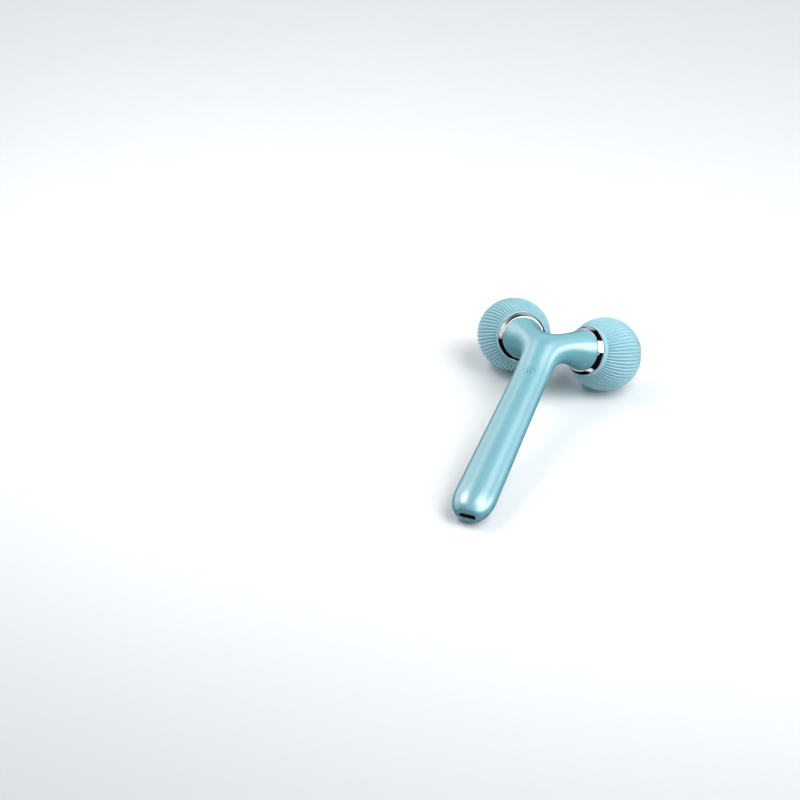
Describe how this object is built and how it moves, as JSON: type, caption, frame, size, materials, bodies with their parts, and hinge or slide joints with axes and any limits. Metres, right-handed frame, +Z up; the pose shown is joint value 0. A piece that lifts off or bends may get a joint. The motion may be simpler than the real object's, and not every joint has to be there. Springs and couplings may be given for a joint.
{
  "type": "facial massage roller",
  "caption": "Y-shaped handheld facial massager with ribbed free-turning rollers on splayed arms, chrome rings, a push button and a charging socket in the handle's end.",
  "frame": {"origin": "centre of the bounding box's bottom face, on the surface that both rollers and the back of the handle's end rest on", "axes": "+Y from the handle towards the rollers, +Z up to the button side, +X towards the right roller with the button up and the rollers away"},
  "size_m": [0.0914, 0.186, 0.0432],
  "materials": {
    "shell_plastic": "satin pearl",
    "roller_skin": "matte",
    "chrome_plate": "polished",
    "steel": "brushed",
    "white_plastic": "matte",
    "black_plastic": "matte",
    "board": "solder mask",
    "black_rubber": "matte",
    "cell_wrap": "shrink film",
    "brass": "satin",
    "lead_wire": "matte"
  },
  "bodies": {
    "handle": {"front_shell": "shell_plastic", "rear_shell": "shell_plastic", "port_bezel": "shell_plastic", "usb_socket_shell": "steel", "usb_tongue": "black_plastic", "charge_board": "board", "charge_chip": "black_plastic", "battery_cell": "cell_wrap", "battery_leads": "lead_wire", "chassis": "white_plastic", "main_board": "board", "board_screws": "steel", "control_chip": "black_plastic", "power_inductor": "black_plastic", "switch_base": "black_plastic", "motor_can": "steel", "motor_sleeve": "black_rubber", "motor_leads": "lead_wire", "left_arm_plug": "white_plastic", "right_arm_plug": "white_plastic", "left_chrome_ring": "chrome_plate", "right_chrome_ring": "chrome_plate", "left_shaft_seal": "black_rubber", "right_shaft_seal": "black_rubber", "left_axle": "steel", "right_axle": "steel", "left_thrust_washer": "steel", "right_thrust_washer": "steel", "left_axle_clip": "steel", "right_axle_clip": "steel"},
    "power_button": {"button_cap": "shell_plastic", "switch_plunger": "white_plastic"},
    "motor_rotor": {"motor_shaft": "steel", "motor_weight": "brass"},
    "left_roller": {"left_inner_bush": "white_plastic", "left_outer_bush": "white_plastic", "left_core_half_inner": "white_plastic", "left_core_half_outer": "white_plastic", "left_ribbed_skin": "roller_skin"},
    "right_roller": {"right_inner_bush": "white_plastic", "right_outer_bush": "white_plastic", "right_core_half_inner": "white_plastic", "right_core_half_outer": "white_plastic", "right_ribbed_skin": "roller_skin"}
  },
  "joints": [
    {"name": "left_roller_spin", "type": "hinge", "parent": "handle", "child": "left_roller", "pos_m": [-0.0257, 0.07301, 0.02], "axis": [-0.4648, 0.774, -0.4299], "continuous": true},
    {"name": "right_roller_spin", "type": "hinge", "parent": "handle", "child": "right_roller", "pos_m": [0.0257, 0.07301, 0.02], "axis": [0.4648, 0.774, -0.4299], "continuous": true},
    {"name": "button_press", "type": "slide", "parent": "handle", "child": "power_button", "axis": [0, 0.2173, -0.9761], "range_m": [0, 0.0005], "stiffness_N_per_m": 1500, "springref_m": -0.0003},
    {"name": "motor_spin", "type": "hinge", "parent": "handle", "child": "motor_rotor", "pos_m": [0, 0.03537, 0.03423], "axis": [0, 0.9761, 0.2173], "continuous": true}
  ]
}
